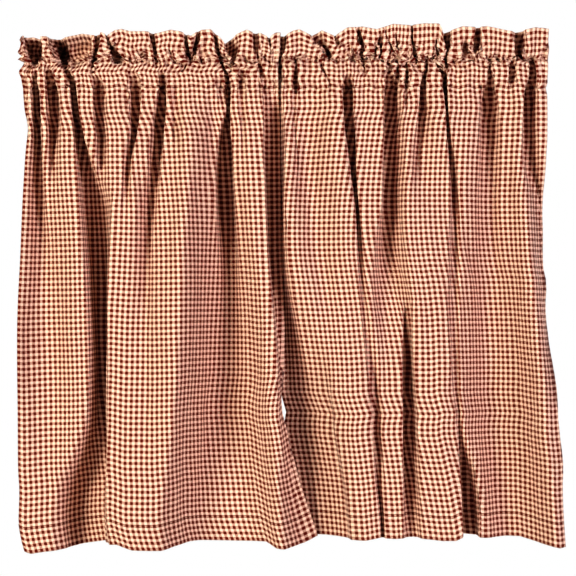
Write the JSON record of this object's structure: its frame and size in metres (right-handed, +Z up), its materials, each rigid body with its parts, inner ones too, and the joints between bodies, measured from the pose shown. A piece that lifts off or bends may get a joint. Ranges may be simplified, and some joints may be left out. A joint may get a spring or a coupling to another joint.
{
  "type": "tier curtain pair",
  "caption": "Short rod-pocket tier curtains in small-check cloth, gathered along the top with a ruffled header and hemmed below.",
  "frame": {"origin": "on the axis of the rod pocket, where the two panels meet", "axes": "+X along the rod to the viewer's right, +Y from the face of the cloth to its back, +Z up"},
  "size_m": [0.6347, 0.0659, 0.6118],
  "materials": {
    "check_cotton": "plain-weave cotton in burgundy and cream checks, matt"
  },
  "bodies": {
    "root": {"tier_left": "check_cotton", "tier_right": "check_cotton"}
  },
  "joints": []
}
